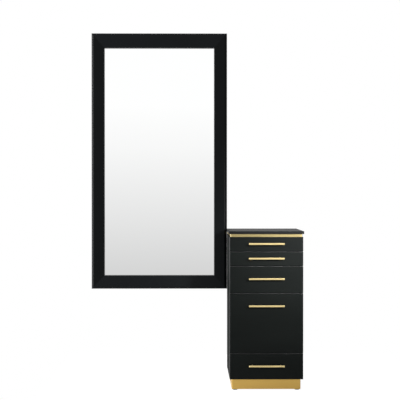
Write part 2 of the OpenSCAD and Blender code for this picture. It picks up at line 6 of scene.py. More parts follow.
import logging
import math
from abc import ABC, abstractmethod
from dataclasses import dataclass, replace
from enum import Enum
from typing import Callable, Iterable, Sequence

import bmesh
import bpy
from bmesh.types import BMEdge, BMFace, BMVert
from mathutils import Matrix, Vector


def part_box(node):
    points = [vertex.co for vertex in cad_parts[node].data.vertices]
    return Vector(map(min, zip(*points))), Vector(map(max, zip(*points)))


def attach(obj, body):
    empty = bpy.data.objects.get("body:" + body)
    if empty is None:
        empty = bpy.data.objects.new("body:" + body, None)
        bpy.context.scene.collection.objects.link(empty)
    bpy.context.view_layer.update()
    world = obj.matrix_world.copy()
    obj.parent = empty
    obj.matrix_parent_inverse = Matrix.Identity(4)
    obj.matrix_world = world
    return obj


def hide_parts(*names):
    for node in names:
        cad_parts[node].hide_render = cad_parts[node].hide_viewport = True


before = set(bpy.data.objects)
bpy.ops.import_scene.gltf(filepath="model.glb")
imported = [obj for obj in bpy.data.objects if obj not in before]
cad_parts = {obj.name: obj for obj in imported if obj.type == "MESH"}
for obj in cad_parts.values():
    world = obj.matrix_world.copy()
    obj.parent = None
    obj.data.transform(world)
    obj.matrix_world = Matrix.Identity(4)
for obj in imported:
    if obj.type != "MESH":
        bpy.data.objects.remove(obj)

log = logging.getLogger("salon_mirror_cabinet")
Pair = tuple[float, float]
Triple = tuple[float, float, float]
Color = tuple[float, float, float, float]
Outline = Sequence[Pair]
Box = tuple[Vector, Vector]
DRAWERS = 5
HEXAGON = 6
TOUCH = 1e-6
WHITE = (1.0, 1.0, 1.0, 1.0)


class Axis(Enum):
    """Axis that a grain, a brushing or a stack of plies follows."""

    X = 0
    Y = 1
    Z = 2

    @property
    def way(self) -> Vector:
        """Unit vector along the axis."""
        return Vector([float(k == self.value) for k in range(3)])

    def stretch(self, along: float, across: float) -> Triple:
        """Scale of a pattern with its own count per metre along and across the axis."""
        return tuple(along if k == self.value else across for k in range(3))


RIGHT, BACK, UP = (axis.way for axis in Axis)


def tone(color: Triple, share: float = 1.0) -> Color:
    """A colour made lighter or darker, with alpha."""
    return (*(min(c * share, 1.0) for c in color), 1.0)


class Wire:
    """Output of a shader node. Arithmetic on it adds Math nodes."""

    def __init__(self, tree: "Tree", socket: bpy.types.NodeSocket) -> None:
        """Keeps the socket and the tree that it is in."""
        self.tree = tree
        self.socket = socket

    def _math(self, operation: str, a: "Wire | float", b: "Wire | float") -> "Wire":
        """Adds one Math node."""
        return self.tree.node("ShaderNodeMath", {0: a, 1: b}, operation=operation)

    def __add__(self, other: "Wire | float") -> "Wire":
        """Sum."""
        return self._math("ADD", self, other)

    def __radd__(self, other: float) -> "Wire":
        """Sum with a number first."""
        return self._math("ADD", other, self)

    def __sub__(self, other: "Wire | float") -> "Wire":
        """Difference."""
        return self._math("SUBTRACT", self, other)

    def __rsub__(self, other: float) -> "Wire":
        """Difference with a number first."""
        return self._math("SUBTRACT", other, self)

    def __mul__(self, other: "Wire | float") -> "Wire":
        """Product."""
        return self._math("MULTIPLY", self, other)

    def __rmul__(self, other: float) -> "Wire":
        """Product with a number first."""
        return self._math("MULTIPLY", other, self)

    def __pow__(self, other: float) -> "Wire":
        """Power."""
        return self._math("POWER", self, other)

    def above(self, other: float) -> "Wire":
        """One where the value is greater, else zero."""
        return self._math("GREATER_THAN", self, other)

    def wrapped(self, period: float) -> "Wire":
        """Remainder, so that a pattern repeats."""
        return self._math("FLOORED_MODULO", self, period)


class Tree:
    """Nodes of one material or of the world."""

    def __init__(self, tree: bpy.types.NodeTree) -> None:
        """Empties the tree."""
        self.tree = tree
        tree.nodes.clear()

    def node(
        self,
        kind: str,
        sockets: dict[str | int, "Wire | float | Sequence[float]"] | None = None,
        out: str | int = 0,
        stops: Sequence[tuple[float, Color]] = (),
        **settings: str | bool | int,
    ) -> Wire | None:
        """Adds a node.

        Args:
            kind: Type of the node.
            sockets: Value or wire of each input that isn't left at its default.
            out: Output to return.
            stops: Places and colours of a ramp.
            settings: Attributes of the node, set before its sockets.

        Returns:
            The output, or None for a node without one.
        """
        made = self.tree.nodes.new(kind)
        for name, value in settings.items():
            setattr(made, name, value)
        if stops:
            marks = made.color_ramp.elements
            marks[0].position, marks[1].position = stops[0][0], stops[-1][0]
            for place, _ in stops[1:-1]:
                marks.new(place)
            for mark, (_, color) in zip(marks, stops):
                mark.color = color
        for name, value in (sockets or {}).items():
            if isinstance(value, Wire):
                self.tree.links.new(value.socket, made.inputs[name])
            else:
                made.inputs[name].default_value = value
        return Wire(self, made.outputs[out]) if made.outputs else None

    def spot(self, scale: Triple = (1.0, 1.0, 1.0)) -> Wire:
        """Object coordinates, scaled by axis."""
        where = self.node("ShaderNodeTexCoord", out="Object")
        return self.node("ShaderNodeMapping", {"Vector": where, "Scale": scale})

    def coordinate(self, axis: Axis) -> Wire:
        """One of the object coordinates."""
        where = self.node("ShaderNodeTexCoord", out="Object")
        return self.node("ShaderNodeSeparateXYZ", {0: where}, out=axis.value)

    def noise(self, spot: Wire, scale: float, detail: float = 2.0) -> Wire:
        """Cloudy pattern from 0 to 1."""
        return self.node("ShaderNodeTexNoise", {"Vector": spot, "Scale": scale, "Detail": detail})

    def grain(self, axis: Axis, counts: Pair, detail: float = 2.0) -> Wire:
        """Pattern from 0 to 1, with its counts per metre along and across an axis."""
        return self.noise(self.spot(axis.stretch(*counts)), 1.0, detail)

    def blend(self, mask: Wire, low: Color | Wire, high: Color | Wire) -> Wire:
        """Colour between two others."""
        return self.node("ShaderNodeMix", {0: mask, 6: low, 7: high}, out=2, data_type="RGBA")

    def relief(self, height: Wire, depth: float) -> Wire:
        """Normal of a surface with a relief from 0 to 1 that is so deep."""
        return self.node("ShaderNodeBump", {"Height": height, "Distance": depth, "Strength": 1.0})

    def share(self, value: Wire, start: float, end: float) -> Wire:
        """Zero at the start of a range, one at its end, and straight between them."""
        return self.node("ShaderNodeMapRange", {"Value": value, "From Min": start, "From Max": end})


@dataclass(frozen=True)
class Finish(ABC):
    """Surface finish of a piece, made as a node material.

    The tones are the darkest and the lightest share of its colour, the sways are how far its
    patterns move the roughness, and the depth is that of its relief.
    """

    name: str
    color: Triple
    roughness: float = 0.4
    specular: float = 0.5
    metallic: float = 0.0
    tones: Pair = (0.8, 1.2)
    sways: Sequence[float] = (0.2,)
    depth: float = 0.00004

    @abstractmethod
    def detail(self, tree: Tree) -> dict[str, Wire]:
        """Sockets that change over the surface.

        Args:
            tree: Nodes of the material.

        Returns:
            Wires by socket.
        """

    def ends(self) -> list[Color]:
        """The two colours that it runs between."""
        return [tone(self.color, share) for share in self.tones]

    def skin(self, tree: Tree, mask: Wire, height: Wire, *patterns: Wire) -> dict[str, Wire]:
        """The sockets of a finish, from patterns that run from 0 to 1.

        Args:
            tree: Nodes of the material.
            mask: Pattern of the colour.
            height: Pattern of the relief.
            patterns: Patterns of the roughness, in the order of its sways.

        Returns:
            Wires by socket.
        """
        rough = self.roughness
        for pattern, sway in zip(patterns, self.sways):
            rough = rough + (pattern - 0.5) * sway
        return {
            "Base Color": tree.blend(mask, *self.ends()),
            "Roughness": rough,
            "Normal": tree.relief(height, self.depth),
        }

    def material(self) -> bpy.types.Material:
        """The material, made on first use.

        Returns:
            The material.
        """
        title = f"{self.name}_finish"
        known = bpy.data.materials.get(title)
        if known:
            return known
        made = bpy.data.materials.new(title)
        made.use_nodes = True
        made.diffuse_color = tone(self.color)
        tree = Tree(made.node_tree)
        sockets = {
            "Base Color": tone(self.color),
            "Roughness": self.roughness,
            "Metallic": self.metallic,
            "Specular IOR Level": self.specular,
        }
        shader = tree.node("ShaderNodeBsdfPrincipled", sockets | self.detail(tree))
        tree.node("ShaderNodeOutputMaterial", {"Surface": shader})
        return made


@dataclass(frozen=True)
class SatinLacquer(Finish):
    """Sprayed lacquer with a soft orange peel."""

    sways: Sequence[float] = (0.14, 0.06)
    depth: float = 0.00002
    cloud_count: float = 6.0
    peel_count: float = 620.0

    def detail(self, tree: Tree) -> dict[str, Wire]:
        """Peel, with faint clouds in colour and gloss.

        Args:
            tree: Nodes of the material.

        Returns:
            Wires by socket.
        """
        spot = tree.spot()
        cloud = tree.noise(spot, self.cloud_count, 3.0)
        peel = tree.noise(spot, self.peel_count)
        return self.skin(tree, cloud, peel, cloud, peel)


@dataclass(frozen=True)
class Laminate(Finish):
    """Dark laminate with a faint pressed grain."""

    tones: Pair = (0.7, 1.3)
    sways: Sequence[float] = (0.16, 0.1)
    depth: float = 0.00003
    along: Axis = Axis.X
    pore_counts: Pair = (30.0, 900.0)
    mottle_counts: Pair = (2.0, 9.0)

    def detail(self, tree: Tree) -> dict[str, Wire]:
        """Short pores along the grain and a soft mottle.

        Args:
            tree: Nodes of the material.

        Returns:
            Wires by socket.
        """
        pores = tree.grain(self.along, self.pore_counts, 3.0)
        mottle = tree.grain(self.along, self.mottle_counts, 4.0)
        return self.skin(tree, mottle, pores, mottle, pores)


@dataclass(frozen=True)
class HonedStone(Finish):
    """Black stone ground to a matt face, with fine pale crystals."""

    tones: Pair = (0.75, 1.25)
    sways: Sequence[float] = (0.08,)
    depth: float = 0.00001
    crystal: Triple = (0.08, 0.08, 0.084)
    crystal_count: float = 420.0
    cloud_count: float = 14.0
    grit_count: float = 1500.0

    def detail(self, tree: Tree) -> dict[str, Wire]:
        """Scattered, glossier crystals in a cloudy ground.

        Args:
            tree: Nodes of the material.

        Returns:
            Wires by socket.
        """
        spot = tree.spot()
        cells = tree.node("ShaderNodeTexVoronoi", {"Vector": spot, "Scale": self.crystal_count})
        fleck = (1.0 - cells) ** 9.0
        cloud = tree.noise(spot, self.cloud_count, 5.0)
        sockets = self.skin(tree, cloud, tree.noise(spot, self.grit_count), cloud)
        ground, rough = sockets["Base Color"], sockets["Roughness"]
        sockets["Base Color"] = tree.blend(fleck * 0.5, ground, tone(self.crystal))
        sockets["Roughness"] = rough - fleck * 0.12
        return sockets


@dataclass(frozen=True)
class BrushedMetal(Finish):
    """Metal with fine brush lines along one axis."""

    metallic: float = 1.0
    tones: Pair = (0.88, 1.1)
    sways: Sequence[float] = (0.18, 0.08)
    depth: float = 0.00001
    along: Axis = Axis.X
    line_counts: Pair = (6.0, 1600.0)
    streak_counts: Pair = (2.0, 70.0)

    def detail(self, tree: Tree) -> dict[str, Wire]:
        """Brush lines in colour, gloss and relief, over broader streaks.

        Args:
            tree: Nodes of the material.

        Returns:
            Wires by socket.
        """
        lines = tree.grain(self.along, self.line_counts, 3.0)
        streaks = tree.grain(self.along, self.streak_counts)
        return self.skin(tree, lines * 0.6 + streaks * 0.4, lines, lines, streaks)


@dataclass(frozen=True)
class BrightZinc(Finish):
    """Zinc plating with a faint yellow and blue bloom."""

    metallic: float = 1.0
    sways: Sequence[float] = (0.24,)
    depth: float = 0.000008
    cool: Triple = (0.9, 0.96, 1.04)
    warm: Triple = (1.04, 1.0, 0.86)
    bloom_count: float = 45.0
    scuff_count: float = 380.0

    def ends(self) -> list[Color]:
        """A cool and a warm tint of its colour."""
        return [tone([c * t for c, t in zip(self.color, tint)]) for tint in (self.cool, self.warm)]

    def detail(self, tree: Tree) -> dict[str, Wire]:
        """Bloom in the colour, and scuffs in the gloss.

        Args:
            tree: Nodes of the material.

        Returns:
            Wires by socket.
        """
        spot = tree.spot()
        bloom = tree.noise(spot, self.bloom_count, 3.0)
        scuff = tree.noise(spot, self.scuff_count, 4.0)
        return self.skin(tree, bloom, scuff, scuff)


@dataclass(frozen=True)
class Timber(Finish):
    """Bare or clear-coated wood, with its grain along one axis."""

    tones: Pair = (0.72, 1.2)
    depth: float = 0.00005
    along: Axis = Axis.X
    bend_counts: Pair = (1.5, 5.0)
    ring_counts: Pair = (1.4, 16.0)
    pore_counts: Pair = (45.0, 1100.0)

    def detail(self, tree: Tree) -> dict[str, Wire]:
        """Growth rings, pores and a slow change of colour.

        Args:
            tree: Nodes of the material.

        Returns:
            Wires by socket.
        """
        bend = tree.grain(self.along, self.bend_counts)
        rings = tree.grain(self.along, self.ring_counts, 5.0)
        pores = tree.grain(self.along, self.pore_counts)
        figure = ((rings * 7.0 + bend).wrapped(1.0) * 0.35 + rings * 0.65) * 0.8 + pores * 0.2
        return self.skin(tree, figure, pores, pores)


@dataclass(frozen=True)
class PlyEdge(Finish):
    """Cut edge of plywood: bands of long grain and end grain across the board."""

    tones: Pair = (0.62, 1.12)
    depth: float = 0.00005
    across: Axis = Axis.X
    ply: float = 0.00136
    fibre_counts: Pair = (900.0, 120.0)
    fibre_tone: float = 0.5
    glue_tone: float = 0.3
    glue_start: float = 0.86

    def detail(self, tree: Tree) -> dict[str, Wire]:
        """Bands, with a thin glue line between them.

        Args:
            tree: Nodes of the material.

        Returns:
            Wires by socket.
        """
        place = (tree.coordinate(self.across) + 1.0).wrapped(2.0 * self.ply) * (0.5 / self.ply)
        band = place.above(0.5)
        glue = (place * 2.0).wrapped(1.0).above(self.glue_start)
        fibre = tree.grain(self.across, self.fibre_counts, 3.0)
        sockets = self.skin(tree, band, band * 0.6 + fibre * 0.4, fibre)
        fibrous = tree.blend(fibre * 0.35, sockets["Base Color"], tone(self.color, self.fibre_tone))
        sockets["Base Color"] = tree.blend(glue * 0.7, fibrous, tone(self.color, self.glue_tone))
        return sockets


@dataclass(frozen=True)
class Hardboard(Finish):
    """Pressed fibre board with the imprint of the press screen on its back."""

    tones: Pair = (0.55, 1.45)
    depth: float = 0.00012
    pitch: float = 0.0016
    fibre_count: float = 260.0
    cloud_count: float = 9.0

    def detail(self, tree: Tree) -> dict[str, Wire]:
        """Screen imprint and matted fibres.

        Args:
            tree: Nodes of the material.

        Returns:
            Wires by socket.
        """
        fibres = tree.noise(tree.spot(), self.fibre_count, 6.0)
        clouds = tree.noise(tree.spot(), self.cloud_count, 4.0)
        across, up = (
            tree.node("ShaderNodeMath", {0: tree.coordinate(a) * (math.tau / self.pitch)}, operation="SINE")
            for a in (Axis.X, Axis.Z)
        )
        screen = across * up * 0.5 + 0.5
        mix = fibres * 0.55 + clouds * 0.3 + screen * 0.15
        return self.skin(tree, mix, screen * 0.7 + fibres * 0.3, fibres)


@dataclass(frozen=True)
class Moulded(Finish):
    """Moulded rubber or plastic with a fine spark-eroded texture."""

    tones: Pair = (0.8, 1.35)
    grain_count: float = 1300.0
    bloom_count: float = 30.0

    def detail(self, tree: Tree) -> dict[str, Wire]:
        """Fine texture and a faint bloom.

        Args:
            tree: Nodes of the material.

        Returns:
            Wires by socket.
        """
        spot = tree.spot()
        grain = tree.noise(spot, self.grain_count, 3.0)
        bloom = tree.noise(spot, self.bloom_count, 3.0)
        return self.skin(tree, bloom, grain, grain)


@dataclass(frozen=True)
class Silver(Finish):
    """Silvered mirror glass."""

    metallic: float = 1.0
    tones: Pair = (0.995, 1.0)
    haze_count: float = 3.0
    haze_sway: float = 0.004

    def detail(self, tree: Tree) -> dict[str, Wire]:
        """The slightest change of tint and polish.

        Args:
            tree: Nodes of the material.

        Returns:
            Wires by socket.
        """
        haze = tree.noise(tree.spot(), self.haze_count)
        tint = tree.blend(haze, *self.ends())
        return {"Base Color": tint, "Roughness": self.roughness + haze * self.haze_sway}


# The rails' lacquer is a copy painted lighter than the stiles', as painted light on them.
STILE_LACQUER = SatinLacquer("stile_lacquer", (0.0023, 0.0030, 0.0034), 0.36, 0.085)
RAIL_LACQUER_PAINTED_LIGHTER = SatinLacquer("rail_lacquer_painted_lighter", (0.0047, 0.0057, 0.0067), 0.36, 0.095)
FRONT_BLACK = Laminate("front_black", (0.0038, 0.0051, 0.0046), 0.43, 0.08)
PANEL_BLACK = Laminate("panel_black", (0.0060, 0.0071, 0.0069), 0.62, 0.03, along=Axis.Z)
INNER_BLACK = Laminate("inner_black", (0.010, 0.010, 0.0105), 0.55, 0.25, along=Axis.Y)
EDGE_BAND = Moulded("edge_band", (0.014, 0.0145, 0.015), 0.4, 0.3)
# Lighter eased edges: a painted highlight that stands in for light catching the edges, not wear.
PAINTED_EDGE_HIGHLIGHT = Moulded("painted_edge_highlight", (0.050, 0.050, 0.051), 0.35, 0.4)
STONE = HonedStone("worktop_stone", (0.0046, 0.0050, 0.0052), 0.52, 0.1)
HANDLE_GOLD = BrushedMetal("handle_gold", (0.81, 0.645, 0.312), 0.27, depth=0.000004)
BAND_GOLD_X = BrushedMetal("band_gold_front", (0.386, 0.309, 0.142), 0.30, depth=0.000004)
BAND_GOLD_Y = replace(BAND_GOLD_X, name="band_gold_end", along=Axis.Y)
PLINTH_GOLD_X = BrushedMetal("plinth_gold_front", (0.675, 0.437, 0.12), 0.36)
PLINTH_GOLD_Y = replace(PLINTH_GOLD_X, name="plinth_gold_end", along=Axis.Y)
ZINC = BrightZinc("bright_zinc", (0.62, 0.63, 0.64), 0.32)
SLIDE_ZINC = BrushedMetal("slide_zinc", (0.60, 0.61, 0.62), 0.30, along=Axis.Y)
# Dark finish on screw recesses: painted shade for the hollow of the recess, which is not cut.
PAINTED_RECESS_SHADE = Moulded("painted_recess_shade", (0.05, 0.05, 0.05), 0.6, 0.3)
ALUMINIUM = BrushedMetal("cleat_aluminium", (0.74, 0.75, 0.76), 0.38)
BUMPER_RUBBER = Moulded("bumper_rubber", (0.02, 0.02, 0.02), 0.75, 0.3)
GLIDE_BLACK = Moulded("glide_black", (0.016, 0.016, 0.017), 0.45, 0.4)
HARDBOARD = Hardboard("hardboard", (0.23, 0.13, 0.065), 0.8, 0.2)
BIRCH_X = Timber("birch_face_x", (0.60, 0.43, 0.25), 0.42, 0.4)
BIRCH_Y = replace(BIRCH_X, name="birch_face_y", along=Axis.Y)
PLY_X = PlyEdge("birch_edge_x", BIRCH_X.color, 0.55, 0.3)
PLY_Y = replace(PLY_X, name="birch_edge_y", across=Axis.Y)
PINE = Timber("pine", (0.56, 0.37, 0.19), 0.6, 0.3, tones=(0.6, 1.2), ring_counts=(1.4, 26.0))
MIRROR_SILVER = Silver("mirror_silver", (0.985, 0.99, 0.988), 0.0)
GLASS_EDGE = Moulded("glass_edge", (0.22, 0.36, 0.31), 0.2, 0.5)


def edges_of(verts: Iterable[BMVert]) -> set[BMEdge]:
    """Every edge that touches some vertices."""
    return {e for v in verts for e in v.link_edges}


def faces_of(verts: Iterable[BMVert]) -> set[BMFace]:
    """Every face that touches some vertices."""
    return {f for v in verts for f in v.link_faces}


def runs_across(edge: BMEdge) -> bool:
    """True if an edge leads along X."""
    return abs(edge.verts[0].co.x - edge.verts[1].co.x) > TOUCH


def looks_sideways(face: BMFace) -> bool:
    """True if a face looks to the left or to the right."""
    return abs(face.normal.x) > 0.7


def rounds_front(face: BMFace) -> bool:
    """True for the faces of an eased edge round a front."""
    return 0.05 < -face.normal.y < 0.95


def linked(start: BMVert) -> list[BMVert]:
    """Every vertex joined to one by edges.

    Args:
        start: One vertex of the shape.

    Returns:
        All its vertices.
    """
    found = {start}
    rim = [start]
    while rim:
        vert = rim.pop()
        fresh = {e.other_vert(vert) for e in vert.link_edges} - found
        found |= fresh
        rim += fresh
    return list(found)


def middle(box: Box, **place: float) -> Vector:
    """Middle of a box.

    Args:
        box: The box.
        place: Coordinates that are put elsewhere, by name.

    Returns:
        The point.
    """
    point = (box[0] + box[1]) / 2
    for axis, value in place.items():
        setattr(point, axis, value)
    return point


def stand(place: Vector, x: Vector, y: Vector, z: Vector) -> Matrix:
    """Matrix that puts the origin at a place, and the three axes along new ones."""
    return Matrix.Translation(place) @ Matrix((x, y, z)).transposed().to_4x4()


def put(name: str, data: bpy.types.ID) -> bpy.types.Object:
    """Makes an object and links it to the scene.

    Args:
        name: Name of the object.
        data: Its mesh, lamp or camera.

    Returns:
        The object.
    """
    made = bpy.data.objects.new(name, data)
    bpy.context.scene.collection.objects.link(made)
    return made


def solids(node: str) -> list[Box]:
    """Boxes of the separate solids of a CAD node, from the left, then from the floor.

    Args:
        node: Name of the node.

    Returns:
        The lowest and highest corner of each solid.
    """
    copy = bmesh.new()
    copy.from_mesh(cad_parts[node].data)
    bmesh.ops.remove_doubles(copy, verts=copy.verts, dist=TOUCH)
    left = set(copy.verts)
    boxes = []
    while left:
        part = linked(next(iter(left)))
        left.difference_update(part)
        low, high = (Vector([pick(v.co[k] for v in part) for k in range(3)]) for pick in (min, max))
        boxes.append((low, high))
    copy.free()
    return sorted(boxes, key=lambda b: (round(b[0].x, 4), round(b[0].z, 4), round(b[0].y, 4)))


def dress(finish: Finish, *nodes: str) -> None:
    """Gives CAD nodes that stay their finish.

    Args:
        finish: The finish.
        nodes: Names of the nodes.
    """
    for node in nodes:
        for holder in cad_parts[node].material_slots:
            holder.material = finish.material()
        log.info("%s keeps its CAD shape", node)


class Shape:
    """Mesh in the making, from bmesh operators."""

    def __init__(self) -> None:
        """Starts with nothing."""
        self.mesh = bmesh.new()

    def settle(self, verts: Iterable[BMVert], place: Matrix) -> None:
        """Moves vertices by a matrix."""
        bmesh.ops.transform(self.mesh, matrix=place, verts=list(verts))

    def outward(self, faces: Iterable[BMFace]) -> None:
        """Turns faces to the outside."""
        bmesh.ops.recalc_face_normals(self.mesh, faces=list(faces))

    def thicken(self, faces: Iterable[BMFace], gauge: float) -> None:
        """Gives a sheet its thickness."""
        bmesh.ops.solidify(self.mesh, geom=list(faces), thickness=gauge)

    def drop(self, test: Callable[[BMFace], bool]) -> None:
        """Takes away the faces that pass a test."""
        self.mesh.normal_update()
        bmesh.ops.delete(self.mesh, geom=[f for f in self.mesh.faces if test(f)], context="FACES")

    def line(self, points: Iterable[Triple]) -> tuple[list[BMVert], list[BMEdge]]:
        """Vertices at some points, and the edges from each to the next."""
        verts = [self.mesh.verts.new(point) for point in points]
        return verts, [self.mesh.edges.new(pair) for pair in zip(verts, verts[1:])]

    def pull(self, edges: Iterable[BMEdge]) -> list[BMVert]:
        """Extrudes edges in place and gives the new vertices, which are still to be moved."""
        made = bmesh.ops.extrude_edge_only(self.mesh, edges=list(edges))["geom"]
        return [v for v in made if isinstance(v, BMVert)]

    def ease(self, edges: Iterable[BMEdge], width: float, segments: int = 2) -> None:
        """Rounds edges off.

        Args:
            edges: The sharp edges.
            width: Distance from the edge to the start of the round.
            segments: Steps of the round.
        """
        bmesh.ops.bevel(
            self.mesh,
            geom=list(edges),
            offset=width,
            offset_type="OFFSET",
            affect="EDGES",
            segments=segments,
            profile=0.5,
            material=-1,
            clamp_overlap=True,
        )

    def fold(self, bend: float, gauge: float, segments: int = 4) -> None:
        """Rounds the bends of an open sheet and gives it its thickness.

        Args:
            bend: Width of each bend.
            gauge: Thickness of the sheet.
            segments: Steps of each bend.
        """
        self.mesh.normal_update()
        bends = [e for e in self.mesh.edges if e.is_manifold and e.calc_face_angle() > 0.5]
        self.ease(bends, bend, segments)
        self.thicken(self.mesh.faces, gauge)

    def block(self, low: Vector, high: Vector, ease: float = 0.0, segments: int = 2, index: int = 0) -> None:
        """Block with eased edges.

        Args:
            low: Lowest corner.
            high: Highest corner.
            ease: Width of the eased edges.
            segments: Steps of each eased edge.
            index: Material slot.
        """
        verts = bmesh.ops.create_cube(self.mesh, size=1.0)["verts"]
        bmesh.ops.scale(self.mesh, vec=high - low, verts=verts)
        bmesh.ops.translate(self.mesh, vec=(low + high) / 2, verts=verts)
        for face in faces_of(verts):
            face.material_index = index
        if ease:
            self.ease(edges_of(verts), ease, segments)

    def sweep(self, outline: Outline, length: float) -> list[BMVert]:
        """Prism with its outline in the YZ plane, from x = 0.

        Args:
            outline: Corners of the section, as y and z.
            length: Length along X.

        Returns:
            The vertices of the prism.
        """
        base = [self.mesh.verts.new((0.0, y, z)) for y, z in outline]
        face = self.mesh.faces.new(base)
        more = bmesh.ops.extrude_face_region(self.mesh, geom=[face])["geom"]
        ends = [v for v in more if isinstance(v, BMVert)]
        bmesh.ops.translate(self.mesh, vec=RIGHT * length, verts=ends)
        self.outward(faces_of(base + ends))
        return base + ends

    def turn(
        self,
        outline: Outline,
        base: Vector,
        way: Vector,
        sides: int,
        index: int = 0,
        size: Pair = (1.0, 1.0),
    ) -> None:
        """Turned shape.

        Args:
            outline: Radius and height of each corner, which starts and ends on the axis.
            base: Place of height 0.
            way: Direction in which it grows.
            sides: Steps round it.
            index: Material slot.
            size: Factors on the radii and on the heights.
        """
        points, lines = self.line((radius * size[0], 0.0, height * size[1]) for radius, height in outline)
        bmesh.ops.spin(
            self.mesh,
            geom=points + lines,
            cent=(0.0, 0.0, 0.0),
            axis=UP,
            angle=math.tau,
            steps=sides,
            use_merge=True,
            use_duplicate=False,
        )
        verts = linked(points[1])
        bmesh.ops.remove_doubles(self.mesh, verts=verts, dist=TOUCH)
        verts = [v for v in verts if v.is_valid]
        faces = faces_of(verts)
        self.outward(faces)
        for face in faces:
            face.material_index = index
        turn = UP.rotation_difference(way).to_matrix().to_4x4()
        self.settle(verts, Matrix.Translation(base) @ turn)

    def cut(self, verts: Iterable[BMVert], place: Vector, way: Vector) -> list[BMVert]:
        """Cuts off what lies beyond a plane and closes the cut.

        Args:
            verts: Vertices of the shape to cut.
            place: A point of the plane.
            way: Direction of the part that goes.

        Returns:
            The vertices of the shape that stay.
        """
        kept = set(verts)
        result = bmesh.ops.bisect_plane(
            self.mesh,
            geom=[*kept, *edges_of(kept), *faces_of(kept)],
            dist=1e-7,
            plane_co=place,
            plane_no=way,
            clear_outer=True,
        )
        rim = [g for g in result["geom_cut"] if isinstance(g, BMEdge)]
        bmesh.ops.contextual_create(self.mesh, geom=rim)
        return linked(rim[0].verts[0])

    def paint(self, test: Callable[[BMFace], bool], index: int) -> None:
        """Gives a material slot to the faces that pass a test.

        Args:
            test: The test.
            index: Material slot.
        """
        self.mesh.normal_update()
        for face in self.mesh.faces:
            if test(face):
                face.material_index = index

    def spend(self, name: str) -> bpy.types.Mesh:
        """Hands over the mesh, after which the shape is empty.

        Args:
            name: Name of the mesh.

        Returns:
            The mesh.
        """
        data = bpy.data.meshes.new(name)
        self.mesh.normal_update()
        self.mesh.to_mesh(data)
        self.mesh.free()
        return data

    def piece(
        self,
        name: str,
        node: str,
        slot: str,
        *finishes: Finish,
        body: str = "cabinet",
        sharp: float = 35.0,
    ) -> None:
        """Makes the object that stands for a CAD node and ties it to its body.

        Args:
            name: Name of the piece.
            node: CAD node that it replaces.
            slot: Name of its material slot; not used.
            finishes: Finishes by material slot of the mesh.
            body: Body that it moves with.
            sharp: Angle in degrees from which an edge stays sharp.
        """
        data = self.spend(name)
        for finish in finishes:
            data.materials.append(finish.material())
        data.shade_smooth()
        data.set_sharp_from_angle(angle=math.radians(sharp))
        made = put(name, data)
        made.modifiers.new("weighted", "WEIGHTED_NORMAL").keep_sharp = True
        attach(made, body)
        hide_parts(node)
        log.info("%s rides on %s, %d faces", name, body, len(data.polygons))


@dataclass(frozen=True)
class PanHead:
    """Head of a screw with a cross recess, as it shows above the surface; the recess is a thin raised cross
    in a dark finish, painted shade for the hollow.

    Its dome is given in radii and heights of the head, and half of one slot of its recess in
    radii: the length, the width and how far it stands out.
    """

    sides: int = 16
    dome: Outline = ((0, 0), (1, 0), (1, 0.45), (0.86, 0.8), (0.5, 1), (0, 1))
    recess: Triple = (0.55, 0.11, 0.03)

    def add(
        self, shape: Shape, seat: Vector, way: Vector, radius: float, height: float, index: int = 0
    ) -> None:
        """Adds a head.

        Args:
            shape: Mesh that gets the head.
            seat: Middle of its seat.
            way: Direction in which it stands out.
            radius: Radius of the head.
            height: Height of the head.
            index: Material slot of the dome. The recess, in painted shade, takes the next one.
        """
        shape.turn(self.dome, seat, way, self.sides, index, (radius, height))
        crown = seat + way * height
        length, width, lift = (share * radius for share in self.recess)
        # The recess isn't cut: two thin blocks on the crown take the dark finish, painted shade.
        others = [axis.way for axis in Axis if not axis.way.dot(way)]
        for long, short in (others, others[::-1]):
            half = long * length + short * width + Vector(map(abs, way)) * lift
            shape.block(crown - half, crown + half, index=index + 1)


